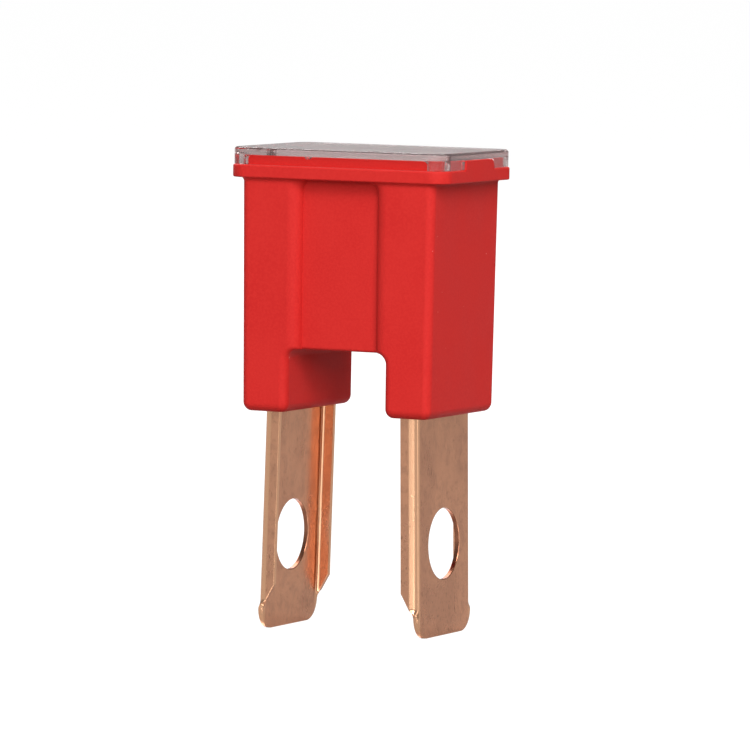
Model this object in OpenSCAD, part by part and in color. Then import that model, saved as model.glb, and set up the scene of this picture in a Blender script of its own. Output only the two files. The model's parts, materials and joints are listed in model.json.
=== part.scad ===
// Bolt-in main fuse: a moulded housing with two shrouded legs, a clear cover,
// and one stamped and folded copper element whose two blades are bolted down.
// Frame: Z up, blade tips at z = 0, X across the two blades, Y across one blade.

/* [Blades] */
// Thickness of the copper sheet
sheet_t = 0.4; // [0.3:0.05:0.6]
// Width of one blade over its two flanges
blade_w = 9.8; // [8:0.1:12]
// Distance over the outer faces of both blades where they leave the legs
blade_span = 13.0; // [11.5:0.1:16]
// Depth of a blade's folded flange, over the web
flange_h = 1.3; // [1.1:0.05:1.7]
// Outer radius of the fold between web and flange
fold_r = 0.6; // [0.6:0.05:0.9]
// Length of a blade below its leg
blade_l = 16.95; // [14:0.05:21]
// Outward lean of a blade below its leg, in degrees
blade_lean = 1.2; // [0:0.1:2]
// Diameter of the bolt hole
hole_d = 5.5; // [4.3:0.1:6.6]
// Height of the bolt hole's centre above the blade's tip
hole_z = 7.05; // [5.8:0.05:8.5]
// Width of the flat tongue at the blade's tip
tongue_w = 9.5; // [7.8:0.1:9.6]
// Corner radius of the tongue
tongue_r = 1.7; // [1:0.1:1.9]
// Height of the tongue, from the tip to the end of the folds
tongue_h = 1.7; // [1.4:0.1:2.2]
// Rise of the slanted cut at a flange's lower end
flange_cut = 1.75; // [1:0.05:2.1]

/* [Legs and body] */
// Height of the body, from the legs' ends to the rim
body_h = 18; // [15:0.1:22]
// Wall outside a blade's web
end_wall = 1.55; // [1.2:0.05:1.9]
// Wall beside a blade's flanges
side_wall = 1.1; // [0.9:0.05:1.4]
// Wall between a blade's well and the notch
inner_wall = 0.85; // [0.7:0.05:1.1]
// Thickness of the legs' floors and of the roof over the notch
floor_t = 1.2; // [0.8:0.05:1.5]
// Height of the notch between the legs
notch_h = 4.9; // [3.5:0.1:6.5]
// Radius in the notch's upper corners
notch_r = 0.75; // [0.4:0.05:1]
// Radius of the upright edges
edge_r = 0.7; // [0.4:0.05:0.9]
// Radius of the edges around the legs' ends
foot_r = 0.65; // [0.3:0.05:0.8]
// Draft of the outer walls, in degrees
draft = 0.53; // [0:0.01:0.7]
// Depth of the recess in front and behind
recess_d = 0.85; // [0.5:0.05:1.05]
// Width of the recess over its mouth
recess_w = 7.8; // [6.5:0.1:8.1]
// Width of the ramp on each side of the recess
ramp_w = 0.7; // [0.4:0.05:1]
// Wall behind the recess
panel_wall = 1.2; // [0.8:0.05:1.5]
// Clearance between the blades and the housing
fit_gap = 0.1; // [0.05:0.01:0.15]

/* [Rim and cover seat] */
// Overhang of the rim at the two ends
rim_over_x = 1.1; // [0.8:0.05:1.4]
// Overhang of the rim in front and behind
rim_over_y = 0.35; // [0.2:0.05:0.6]
// Height of the rim
rim_h = 0.95; // [0.7:0.05:1.2]
// Corner radius of the rim
rim_r = 1.5; // [1.2:0.05:1.8]
// Height of the upstand and of the end tabs above the rim
seat_h = 0.74; // [0.5:0.01:1]
// Width of an end tab
tab_w = 5.1; // [4:0.1:6.2]
// Radius of an end tab's upper corner
tab_r = 0.4; // [0.2:0.05:0.5]

/* [Cover] */
// Thickness of the cover's plate
cover_t = 0.6; // [0.5:0.05:1]
// Step from the rim's edge back to the cover's edge
cover_inset = 0.1; // [0.05:0.01:0.2]
// Thickness of a corner skirt
skirt_t = 0.65; // [0.5:0.05:0.75]
// Length of a corner skirt along the front
skirt_l = 1.5; // [1.2:0.1:2.5]
// Clearance inside and beside a corner skirt
skirt_gap = 0.1; // [0.05:0.01:0.15]
// Width of the gate mark on the front edge
gate_w = 0.5; // [0.3:0.05:0.8]
// Distance of the gate mark from the middle
gate_x = 2.4; // [0:0.1:5]

/* [Link] */
// Width of the necks and arms
arm_w = 3.2; // [2.4:0.1:4]
// Depth of the arms below the cover
arm_drop = 2.3; // [2:0.1:2.8]
// Clearance between an arm and the rib under it
arm_gap = 0.1; // [0.05:0.01:0.15]
// Length of a neck, from the folds' ends to the top of its arm
neck_l = 3.6; // [3:0.1:4.2]
// Width of the thin link
link_w = 1.3; // [1:0.1:1.6]
// Inner radius of the link's bends
link_r = 0.4; // [0.3:0.05:0.5]
// Depth of the trough in which the pellet sits
trough_h = 2.2; // [1.8:0.1:2.6]
// Outer width of the trough
trough_w = 6; // [5:0.1:7]
// Length of the pellet along the link
pellet_l = 1.8; // [1.4:0.1:2.2]
// Width of the pellet
pellet_w = 1.9; // [1.7:0.1:2.3]
// Height of the pellet
pellet_h = 0.9; // [0.7:0.05:1.1]
// Width of the claws, along the link
claw_w = 1.1; // [0.8:0.1:1.4]
// Gap between the tips of two facing claws
claw_gap = 0.7; // [0.4:0.1:1.2]

/* [Hidden] */
$fn = 48;
eps = 0.01;

// Heights, from the blade tips up
leg_z = blade_l;
notch_z = leg_z + notch_h;
rim_z = leg_z + body_h;
seat_z = rim_z + rim_h;
plate_z = seat_z + seat_h;
well_z = leg_z + floor_t;
chamber_z = notch_z + floor_t;
bend_z = leg_z + floor_t / 4;

// How far a blade has leaned towards the middle at height z
function lean_in(z) = (z - bend_z) * tan(blade_lean);

// Link heights
arm_top_z = plate_z - arm_drop;
saddle_z = arm_top_z - sheet_t - arm_gap;
trough_z = arm_top_z - trough_h;
bend_out_r = link_r + sheet_t;
neck_z = arm_top_z - neck_l;
mitre_z = neck_z + neck_l / 4;

// Distances from the middle
blade_x = blade_span / 2;
neck_x = blade_x - lean_in(mitre_z);
leg_well_x = blade_x - flange_h - fit_gap - lean_in(chamber_z);
top_well_x = blade_x - flange_h - fit_gap - lean_in(neck_z);
notch_x = leg_well_x - inner_wall;
body_x = blade_x + fit_gap + end_wall;
body_y = blade_w / 2 + fit_gap + side_wall;
rim_x = body_x + rim_over_x;
rim_y = body_y + rim_over_y;
cover_x = rim_x - cover_inset;
cover_y = rim_y - cover_inset;
cover_r = rim_r - cover_inset;
seat_x = cover_x - skirt_t - skirt_gap;
seat_y = cover_y - skirt_t - skirt_gap;
seat_r = cover_r - skirt_t;
chamber_y = body_y - recess_d - panel_wall;

module bar(x0, x1, y0, y1, z0, z1) {
    translate([x0, y0, z0]) cube([x1 - x0, y1 - y0, z1 - z0]);
}

module corner_circles(x, y, r) {
    for (sx = [-1, 1], sy = [-1, 1])
        translate([sx * (x - r), sy * (y - r)]) circle(r);
}

module round_rect(x, y, r) {
    square([2 * x, 2 * (y - r)], center = true);
    square([2 * (x - r), 2 * y], center = true);
    corner_circles(x, y, r);
}

// A rounded slab with half sizes x and y, from z0 up to z1
module slab(x, y, r, z0, z1) {
    translate([0, 0, z0]) linear_extrude(z1 - z0) round_rect(x, y, r);
}

// ---- Housing ----

// How far the draft has drawn a wall in at height z
function drawn_in(z) = (rim_z - z) * tan(draft);

// A quarter of a rounded corner, from angle a on
function corner(sx, sy, a) = [
    for (i = [0:8])
        [sx * (body_x - edge_r) + edge_r * cos(a + i * 90 / 8),
         sy * (body_y - edge_r) + edge_r * sin(a + i * 90 / 8)]
];

// The recess with its two ramps, in front (s = -1) or behind (s = 1)
function recess(s) = [
    [s * recess_w / 2, s * body_y],
    [s * (recess_w / 2 - ramp_w), s * (body_y - recess_d)],
    [s * (ramp_w - recess_w / 2), s * (body_y - recess_d)],
    [-s * recess_w / 2, s * body_y]
];

// The body's block, narrowing downwards with the draft
module body_block() {
    d = drawn_in(leg_z);
    translate([0, 0, rim_z + eps]) mirror([0, 0, 1])
        linear_extrude(body_h + eps, slices = 1, scale = [1 - d / body_x, 1 - d / body_y])
            polygon(concat(
                corner(1, 1, 0), recess(1), corner(-1, 1, 90),
                corner(-1, -1, 180), recess(-1), corner(1, -1, 270)
            ));
}

// Profile of the body between two drafted walls, with rounded feet
module foot_profile(half) {
    translate([-half, foot_r]) square([2 * half, body_h + 1]);
    translate([foot_r - half, 0]) square([2 * (half - foot_r), body_h]);
    for (s = [-1, 1]) translate([s * (half - foot_r), foot_r]) circle(foot_r);
}

// Profile of the notch, open below, with rounded corners above and at the feet
module notch_profile() {
    translate([-notch_x, -1]) square([2 * notch_x, notch_h + 1 - notch_r]);
    translate([notch_r - notch_x, -1]) square([2 * (notch_x - notch_r), notch_h + 1]);
    for (s = [-1, 1]) {
        translate([s * (notch_x - notch_r), notch_h - notch_r]) circle(notch_r);
        difference() {
            translate([s * notch_x - foot_r, -1]) square([2 * foot_r, 1 + foot_r]);
            translate([s * (notch_x + foot_r), foot_r]) circle(foot_r);
        }
    }
}

// What rounds one upright edge of a leg beside the notch, leaning with the draft
module leg_edge_cut() {
    face_y = body_y - drawn_in(leg_z);
    translate([notch_x, face_y, leg_z]) rotate([-draft, 0, 0]) translate([0, 0, -1])
        linear_extrude(notch_h + 1) difference() {
            translate([-edge_r, -edge_r]) square(2 * edge_r);
            translate([edge_r - eps, eps - edge_r]) circle(edge_r);
            translate([edge_r - eps, -2 * edge_r]) square(2 * edge_r);
        }
}

module body_solid() {
    difference() {
        intersection() {
            body_block();
            translate([0, 2 * body_y, leg_z]) rotate([90, 0, 0])
                linear_extrude(4 * body_y) foot_profile(body_x - drawn_in(leg_z + foot_r));
            translate([-2 * body_x, 0, leg_z]) rotate([90, 0, 90])
                linear_extrude(4 * body_x) foot_profile(body_y - drawn_in(leg_z + foot_r));
        }
        translate([0, body_y + 1, leg_z]) rotate([90, 0, 0])
            linear_extrude(2 * body_y + 2) notch_profile();
        for (sx = [0, 1], sy = [0, 1]) mirror([sx, 0, 0]) mirror([0, sy, 0]) leg_edge_cut();
    }
}

// An end tab, flush with the rim, with one upper corner rounded
module end_tab() {
    half = tab_w / 2;
    top = seat_h + eps;
    translate([seat_x - skirt_t, 0, seat_z - eps]) rotate([90, 0, 90])
        linear_extrude(rim_x - seat_x + skirt_t) {
            translate([-half, 0]) square([tab_w - tab_r, top]);
            translate([-half, 0]) square([tab_w, top - tab_r]);
            translate([half - tab_r, top - tab_r]) circle(tab_r);
        }
}

// The pocket that a blade drops into from above, with its slot through the leg's floor
module blade_well() {
    well_y = blade_w / 2 + fit_gap;
    bar(leg_well_x, blade_x + fit_gap, -well_y, well_y, well_z, plate_z + 1);
    bar(top_well_x, blade_x + fit_gap, -well_y, well_y, chamber_z, plate_z + 1);
    translate([0, 0, leg_z - 1]) linear_extrude(floor_t + 2) channel_plan(fit_gap);
}

// The hollow between the wells, with two ribs left standing under the element's arms
module link_chamber() {
    bar(-notch_x, notch_x, -chamber_y, chamber_y, chamber_z, plate_z + 1);
    bar(-leg_well_x, leg_well_x, -chamber_y, chamber_y, saddle_z, plate_z + 1);
}

module housing() {
    color([0.83, 0.17, 0.16]) difference() {
        union() {
            body_solid();
            slab(rim_x, rim_y, rim_r, rim_z, seat_z);
            slab(seat_x, seat_y, seat_r, seat_z - eps, plate_z);
            end_tab();
            rotate([0, 0, 180]) end_tab();
        }
        link_chamber();
        for (a = [0, 180]) rotate([0, 0, a]) blade_well();
    }
}

// ---- Cover ----

module corner_skirt() {
    bar(cover_x - skirt_l, rim_x, seat_y + skirt_gap, rim_y, seat_z, plate_z + eps);
    bar(seat_x + skirt_gap, rim_x, tab_w / 2 + skirt_gap, rim_y, seat_z, plate_z + eps);
}

module cover() {
    color([0.86, 0.84, 0.84, 0.45]) union() {
        slab(cover_x, cover_y, cover_r, plate_z, plate_z + cover_t);
        intersection() {
            slab(cover_x, cover_y, cover_r, seat_z, plate_z + eps);
            for (sx = [0, 1], sy = [0, 1]) mirror([sx, 0, 0]) mirror([0, sy, 0]) corner_skirt();
        }
        bar(-gate_x - gate_w / 2, gate_w / 2 - gate_x, -cover_y, gate_w - cover_y,
            plate_z - gate_w / 2, plate_z + eps);
    }
}

// ---- Copper element ----

// Plan of one blade's U section at +X, grown by g on every side
module channel_plan(g = 0) {
    out_x = blade_x + g;
    half = blade_w / 2 + g;
    thick = sheet_t + 2 * g;
    outer = fold_r + g;
    inner = max(outer - thick, eps);
    free_x = blade_x - flange_h - g;
    difference() {
        union() {
            translate([free_x, -half]) square([out_x - outer - free_x, 2 * half]);
            translate([out_x - outer - eps, outer - half]) square([outer + eps, 2 * (half - outer)]);
            for (s = [-1, 1]) translate([out_x - outer, s * (half - outer)]) circle(outer);
        }
        union() {
            translate([free_x - 1, thick - half])
                square([out_x - thick - inner - free_x + 1, 2 * (half - thick)]);
            translate([out_x - thick - inner - eps, thick + inner - half])
                square([inner + eps, 2 * (half - thick - inner)]);
            for (s = [-1, 1])
                translate([out_x - thick - inner, s * (half - thick - inner)]) circle(inner);
        }
    }
}

// Outline of the tongue, seen along X
module tongue_profile() {
    half = tongue_w / 2;
    translate([-half, tongue_r]) square([tongue_w, tongue_h + fold_r - tongue_r]);
    translate([tongue_r - half, 0]) square([2 * (half - tongue_r), tongue_h + fold_r]);
    for (s = [-1, 1]) translate([s * (half - tongue_r), tongue_r]) circle(tongue_r);
}

// The slanted ends of both flanges, as the space to cut away
module flange_end_cut() {
    free_x = blade_x - flange_h;
    translate([0, blade_w, 0]) rotate([90, 0, 0]) linear_extrude(2 * blade_w)
        polygon([
            [free_x - 1, -1],
            [free_x - 1, tongue_h + flange_cut + flange_cut / flange_h],
            [blade_x, tongue_h],
            [blade_x + 1, tongue_h],
            [blade_x + 1, -1]
        ]);
}

// A blade with its neck, before it leans
module upright_blade() {
    difference() {
        union() {
            difference() {
                linear_extrude(neck_z) channel_plan();
                flange_end_cut();
            }
            translate([blade_x - sheet_t, 0, 0]) rotate([90, 0, 90])
                linear_extrude(sheet_t) tongue_profile();
            bar(blade_x - sheet_t, blade_x, -arm_w / 2, arm_w / 2, neck_z - eps, mitre_z + 1);
        }
        translate([blade_x - 2 * sheet_t, 0, hole_z]) rotate([0, 90, 0])
            cylinder(h = 3 * sheet_t, d = hole_d, $fn = 96);
    }
}

// Turned outwards by a, about the line across the web at x and z
module leaned(x, z, a) {
    translate([x, 0, z]) rotate([0, -a, 0]) translate([-x, 0, -z]) children();
}

// The space above the mitre where a leaning neck meets its upright end
module above_mitre() {
    leaned(neck_x, mitre_z, blade_lean / 2) bar(0, body_x, -body_y, body_y, mitre_z, plate_z);
}

// A blade leaning outwards from the floor of its leg
module blade() {
    difference() {
        leaned(blade_x, bend_z, blade_lean) upright_blade();
        above_mitre();
    }
}

// A quarter bend in the XZ plane, about its centre, from angle a to a + 90
module quarter_bend(cx, cz, a, w) {
    translate([cx, w / 2, cz]) rotate([90, 0, 0]) linear_extrude(w) intersection() {
        difference() {
            circle(bend_out_r);
            circle(link_r);
        }
        rotate(a) square(bend_out_r + 1);
    }
}

// The upright end of a neck, and its arm over the rib
module arm() {
    turn_z = arm_top_z - bend_out_r;
    arm_end = trough_w / 2 - sheet_t + bend_out_r;
    intersection() {
        bar(neck_x - sheet_t, neck_x, -arm_w / 2, arm_w / 2, mitre_z - 1, turn_z);
        above_mitre();
    }
    quarter_bend(neck_x - bend_out_r, turn_z, 0, arm_w);
    bar(arm_end, neck_x - bend_out_r, -arm_w / 2, arm_w / 2, arm_top_z - sheet_t, arm_top_z);
}

// One half of the trough between the arms, with the claws that hold the pellet
module half_trough() {
    side_x = trough_w / 2;
    top_c = arm_top_z - bend_out_r;
    low_c = trough_z + bend_out_r;
    claw_x = claw_w / 2;
    claw_y = pellet_w / 2;
    claw_z = trough_z + sheet_t + pellet_h;
    quarter_bend(side_x - sheet_t + bend_out_r, top_c, 90, link_w);
    bar(side_x - sheet_t, side_x, -link_w / 2, link_w / 2, low_c, top_c);
    quarter_bend(side_x - bend_out_r, low_c, 270, link_w);
    bar(0, side_x - bend_out_r, -link_w / 2, link_w / 2, trough_z, trough_z + sheet_t);
    for (s = [0, 1]) mirror([0, s, 0]) {
        bar(0, claw_x, 0, claw_y + sheet_t, trough_z, trough_z + sheet_t);
        bar(0, claw_x, claw_y, claw_y + sheet_t, trough_z, claw_z + sheet_t);
        bar(0, claw_x, claw_gap / 2, claw_y + sheet_t, claw_z, claw_z + sheet_t);
    }
}

module fuse_element() {
    color([0.72, 0.45, 0.34]) union() {
        for (a = [0, 180]) rotate([0, 0, a]) {
            blade();
            arm();
            half_trough();
        }
    }
}

module tin_pellet() {
    color([0.78, 0.78, 0.76])
        bar(-pellet_l / 2, pellet_l / 2, -pellet_w / 2, pellet_w / 2,
            trough_z + sheet_t, trough_z + sheet_t + pellet_h);
}

housing();
cover();
fuse_element();
tin_pellet();
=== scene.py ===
import json
import math
import bmesh
import bpy
from mathutils import Matrix, Vector


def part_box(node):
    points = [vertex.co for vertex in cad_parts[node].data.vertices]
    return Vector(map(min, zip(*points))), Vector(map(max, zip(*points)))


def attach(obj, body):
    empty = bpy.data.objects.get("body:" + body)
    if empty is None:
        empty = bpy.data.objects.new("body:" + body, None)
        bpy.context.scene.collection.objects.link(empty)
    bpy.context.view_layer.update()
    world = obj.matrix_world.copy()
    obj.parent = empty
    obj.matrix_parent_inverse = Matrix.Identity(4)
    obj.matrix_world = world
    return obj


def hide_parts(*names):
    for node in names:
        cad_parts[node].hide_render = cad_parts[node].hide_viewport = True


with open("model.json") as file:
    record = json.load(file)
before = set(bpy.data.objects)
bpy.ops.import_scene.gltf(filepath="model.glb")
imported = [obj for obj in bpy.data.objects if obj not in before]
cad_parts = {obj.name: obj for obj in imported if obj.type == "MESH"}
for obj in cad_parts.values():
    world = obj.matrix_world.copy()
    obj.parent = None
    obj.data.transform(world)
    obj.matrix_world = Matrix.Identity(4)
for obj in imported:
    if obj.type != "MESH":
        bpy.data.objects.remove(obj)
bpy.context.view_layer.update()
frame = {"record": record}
mm = 0.001  # all meshes are built in millimetres and scaled at the end
scene = bpy.context.scene
record = frame["record"]


def boxInMm(node):
    low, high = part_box(node)
    return low / mm, high / mm


housingLow, housingHigh = boxInMm("housing")
coverLow, coverHigh = boxInMm("cover")
elementTop = boxInMm("fuse_element")[1].z
pelletLow, pelletHigh = boxInMm("tin_pellet")
rightBore = next(m for m in record["mounts"] if m["name"] == "right_bolt_hole")


# mesh helpers


def newObject(name, verts, faces):
    mesh = bpy.data.meshes.new(name)
    mesh.from_pydata(verts, [], faces)
    bm = bmesh.new()
    bm.from_mesh(mesh)
    bmesh.ops.recalc_face_normals(bm, faces=bm.faces)
    bm.to_mesh(mesh)
    bm.free()
    ob = bpy.data.objects.new(name, mesh)
    scene.collection.objects.link(ob)
    return ob


def loft(name, rings):
    # a closed solid through rings that have the same number of points
    n = len(rings[0])
    verts = [p for ring in rings for p in ring]
    faces = [
        (k * n + i, k * n + (i + 1) % n, (k + 1) * n + (i + 1) % n, (k + 1) * n + i)
        for k in range(len(rings) - 1)
        for i in range(n)
    ]
    faces.append(tuple(reversed(range(n))))
    faces.append(tuple(range((len(rings) - 1) * n, len(rings) * n)))
    return newObject(name, verts, faces)


def arc(cx, cy, r, fromDeg, toDeg, steps):
    return [
        (
            cx + r * math.cos(math.radians(fromDeg + (toDeg - fromDeg) * i / steps)),
            cy + r * math.sin(math.radians(fromDeg + (toDeg - fromDeg) * i / steps)),
        )
        for i in range(steps + 1)
    ]


def roundRect(x0, x1, y0, y1, r, steps):
    return (
        arc(x1 - r, y0 + r, r, -90, 0, steps)
        + arc(x1 - r, y1 - r, r, 0, 90, steps)
        + arc(x0 + r, y1 - r, r, 90, 180, steps)
        + arc(x0 + r, y0 + r, r, 180, 270, steps)
    )


mitreLimit = 0.4  # keeps the offset of a very sharp corner short


def outwards(outline):
    # the outward direction at each point of an outline that runs anticlockwise
    found = []
    n = len(outline)
    for i in range(n):
        before, here, after = (Vector(outline[k % n]) for k in (i - 1, i, i + 1))
        d1, d2 = (here - before).normalized(), (after - here).normalized()
        n1, n2 = Vector((d1.y, -d1.x)), Vector((d2.y, -d2.x))
        middle = (n1 + n2).normalized()
        found.append(middle / max(mitreLimit, middle.dot(n1)))
    return found


def plate(name, outline, low, high, place, lowEdge=0.0, highEdge=0.0, steps=4):
    # outline extruded from low to high, with rounded borders; place turns (a, b, c) into a point
    normals = outwards(outline)
    n = len(outline)

    def widths(edge):
        return list(edge) if hasattr(edge, "__len__") else [edge] * n

    def ring(edge, t, level, side):
        return [
            place(
                p[0] - q[0] * e * (1 - math.sin(t)),
                p[1] - q[1] * e * (1 - math.sin(t)),
                level + side * e * (1 - math.cos(t)),
            )
            for p, q, e in zip(outline, normals, widths(edge))
        ]

    def turns(edge):
        rounded = max(widths(edge)) > 0
        return [math.pi / 2 * k / steps for k in range(steps + 1)] if rounded else [math.pi / 2]

    rings = [ring(lowEdge, t, low, 1) for t in turns(lowEdge)]
    rings += [ring(highEdge, t, high, -1) for t in reversed(turns(highEdge))]
    return loft(name, rings)


def alongX(a, b, c):
    return (c, a, b)


def alongY(a, b, c):
    return (a, c, b)


def alongZ(a, b, c):
    return (a, b, c)


def applyModifiers(ob):
    bpy.context.view_layer.update()
    evaluated = ob.evaluated_get(bpy.context.evaluated_depsgraph_get())
    done = bpy.data.meshes.new_from_object(evaluated)
    ob.modifiers.clear()
    old = ob.data
    ob.data = done
    bpy.data.meshes.remove(old)


def combine(ob, tool, how):
    step = ob.modifiers.new(how, "BOOLEAN")
    step.operation = how
    step.solver = "EXACT"
    step.object = tool
    applyModifiers(ob)
    bpy.data.objects.remove(tool)


def slices(ob, normal, levels):
    # adds edges where planes with that normal cross the mesh
    bm = bmesh.new()
    bm.from_mesh(ob.data)
    for level in levels:
        bmesh.ops.bisect_plane(
            bm,
            geom=bm.verts[:] + bm.edges[:] + bm.faces[:],
            plane_co=Vector(normal) * level,
            plane_no=normal,
            dist=1e-5,
        )
    bm.to_mesh(ob.data)
    bm.free()


def spread(low, high, count):
    return [low + (high - low) * i / (count - 1) for i in range(count)]


meshClean = {
    "weld": 2e-4,  # mm
    "shortest": 1e-4,
    "normalWeight": 60,
}


def finishPiece(ob, node, materials, sharpDeg=32):
    bm = bmesh.new()
    bm.from_mesh(ob.data)
    bmesh.ops.remove_doubles(bm, verts=bm.verts, dist=meshClean["weld"])
    bmesh.ops.dissolve_degenerate(bm, edges=bm.edges, dist=meshClean["shortest"])
    bmesh.ops.recalc_face_normals(bm, faces=bm.faces)
    bmesh.ops.triangulate(bm, faces=bm.faces, ngon_method="BEAUTY")
    bm.to_mesh(ob.data)
    bm.free()
    ob.data.transform(Matrix.Scale(mm, 4))
    ob.data.shade_smooth()
    ob.data.set_sharp_from_angle(angle=math.radians(sharpDeg))
    weigh = ob.modifiers.new("weightedNormals", "WEIGHTED_NORMAL")
    weigh.keep_sharp = True
    weigh.weight = meshClean["normalWeight"]
    applyModifiers(ob)
    for material in materials:
        ob.data.materials.append(material)
    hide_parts(node)
    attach(ob, "root")
    print("built", ob.name, len(ob.data.polygons), "triangles")


# material helpers


def newMaterial(name):
    material = bpy.data.materials.new(name)
    material.use_nodes = True
    tree = material.node_tree
    tree.nodes.clear()
    return material, tree


def addNode(tree, kind, settings=None, **inputs):
    # inputs go to sockets by name, or by number as i0, i1 and so on
    made = tree.nodes.new(kind)
    for key, value in (settings or {}).items():
        setattr(made, key, value)
    for key, value in inputs.items():
        numbered = key[0] == "i" and key[1:].isdigit()
        socket = made.inputs[int(key[1:]) if numbered else key]
        if isinstance(value, bpy.types.NodeSocket):
            tree.links.new(value, socket)
        else:
            socket.default_value = value
    return made


def placeOnPiece(tree, scale, turnDeg):
    # object coordinates in metres, stretched by scale for each axis, then turned round the x axis
    where = addNode(tree, "ShaderNodeTexCoord").outputs["Object"]
    turn = (math.radians(turnDeg), 0, 0)
    return addNode(
        tree, "ShaderNodeMapping", Vector=where, Rotation=turn, Scale=scale
    ).outputs["Vector"]


def noise(tree, spec, turnDeg=0):
    # spec: scale per metre for each axis, detail, and roughness if it isn't the usual half
    where = placeOnPiece(tree, spec["scale"], turnDeg)
    rough = spec.get("rough", 0.5)
    return addNode(
        tree, "ShaderNodeTexNoise", Vector=where, Scale=1.0, Detail=spec["detail"], Roughness=rough
    ).outputs["Fac"]


def calculate(tree, operation, *values):
    node = addNode(tree, "ShaderNodeMath", {"operation": operation})
    for socket, value in zip(node.inputs, values):
        if isinstance(value, bpy.types.NodeSocket):
            tree.links.new(value, socket)
        else:
            socket.default_value = value
    return node.outputs[0]


def remap(tree, value, low, high, toLow=0.0, toHigh=1.0):
    # a smooth step from toLow at low to toHigh at high
    smooth = {"interpolation_type": "SMOOTHSTEP"}
    step = addNode(tree, "ShaderNodeMapRange", smooth, i0=value, i1=low, i2=high)
    if (toLow, toHigh) == (0, 1):
        return step.outputs[0]
    return calculate(tree, "MULTIPLY_ADD", step.outputs[0], toHigh - toLow, toLow)


def share(tree, texture, spec):
    # how strongly a texture shows: not at all below its range, with its full share above
    return remap(tree, texture, *spec["range"], 0, spec["share"])


def mixColour(tree, factor, first, second):
    step = tree.nodes.new("ShaderNodeMix")
    step.data_type = "RGBA"
    for index, value in ((0, factor), (6, first), (7, second)):
        if isinstance(value, bpy.types.NodeSocket):
            tree.links.new(value, step.inputs[index])
        else:
            step.inputs[index].default_value = value
    return step.outputs[2]


def bumpFrom(tree, height, strength, distance):
    bump = addNode(tree, "ShaderNodeBump", Height=height, Strength=strength, Distance=distance)
    return bump.outputs["Normal"]


def finishShader(tree, shader):
    out = tree.nodes.new("ShaderNodeOutputMaterial")
    tree.links.new(shader, out.inputs["Surface"])


# red moulded plastic

redPlastic = {
    "colour": (0.560, 0.0205, 0.0185, 1),
    "paler": (0.620, 0.029, 0.024, 1),
    "speck": (0.80, 0.30, 0.27, 1),
    "specular": 0.08,
    "ior": 1.5,
    "roughness": (0.50, 0.60),
    "roughnessRange": (0.25, 0.75),  # of the cloud
    "cloud": {"scale": (260, 260, 180), "detail": 2, "range": (0.3, 0.7), "share": 0.4},
    "mottle": {"scale": (5200, 5200, 5200), "detail": 3, "range": (0.36, 0.66), "share": 0.5},
    "dust": {"scale": (2300, 2300, 2300), "detail": 1, "range": (0.80, 0.84), "share": 1},
    "grain": {"scale": (8000, 8000, 8000), "detail": 2},
    "flow": {"scale": (500, 500, 160), "detail": 2},
    "flowHeight": 0.8,  # next to the grain's
    "grainStrength": 0.5,
    "grainDepth": 0.00002,
}


def makeRedPlastic():
    p = redPlastic
    material, tree = newMaterial("redPlastic")
    cloud = noise(tree, p["cloud"])
    colour = mixColour(tree, share(tree, cloud, p["cloud"]), p["colour"], p["paler"])
    mottle = noise(tree, p["mottle"])
    colour = mixColour(tree, share(tree, mottle, p["mottle"]), colour, p["paler"])
    dust = noise(tree, p["dust"])
    colour = mixColour(tree, share(tree, dust, p["dust"]), colour, p["speck"])
    grain = noise(tree, p["grain"])
    flow = noise(tree, p["flow"])
    height = calculate(tree, "MULTIPLY_ADD", flow, p["flowHeight"], grain)
    shader = addNode(
        tree,
        "ShaderNodeBsdfPrincipled",
        **{"Base Color": colour, "IOR": p["ior"], "Specular IOR Level": p["specular"]},
    )
    rough = remap(tree, cloud, *p["roughnessRange"], *p["roughness"])
    tree.links.new(rough, shader.inputs["Roughness"])
    bump = bumpFrom(tree, height, p["grainStrength"], p["grainDepth"])
    tree.links.new(bump, shader.inputs["Normal"])
    finishShader(tree, shader.outputs[0])
    return material


# clear moulded plastic

clearPlastic = {
    "colour": (0.86, 0.70, 0.69, 1),
    "clearness": 0.95,
    "lightThrough": (0.88, 0.83, 0.83, 1),
    "roughness": (0.06, 0.12),
    "ior": 1.45,
    "waves": {"scale": (420, 420, 420), "detail": 2, "range": (0.3, 0.7)},
    "waveStrength": 0.3,
    "waveDepth": 0.000002,
}


def makeClearPlastic():
    p = clearPlastic
    material, tree = newMaterial("clearPlastic")
    wave = noise(tree, p["waves"])
    shader = addNode(
        tree,
        "ShaderNodeBsdfPrincipled",
        **{"Base Color": p["colour"], "IOR": p["ior"], "Transmission Weight": p["clearness"]},
    )
    rough = remap(tree, wave, *p["waves"]["range"], *p["roughness"])
    tree.links.new(rough, shader.inputs["Roughness"])
    bump = bumpFrom(tree, wave, p["waveStrength"], p["waveDepth"])
    tree.links.new(bump, shader.inputs["Normal"])
    # light passes straight through to the copper below, which glass alone would leave dark
    light = addNode(tree, "ShaderNodeBsdfTransparent", Color=p["lightThrough"])
    path = addNode(tree, "ShaderNodeLightPath").outputs
    soft = calculate(tree, "MAXIMUM", path["Is Shadow Ray"], path["Is Diffuse Ray"])
    both = addNode(tree, "ShaderNodeMixShader", i0=soft, i1=shader.outputs[0], i2=light.outputs[0])
    finishShader(tree, both.outputs[0])
    return material


# copper sheet, rolled and a little tarnished

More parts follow.
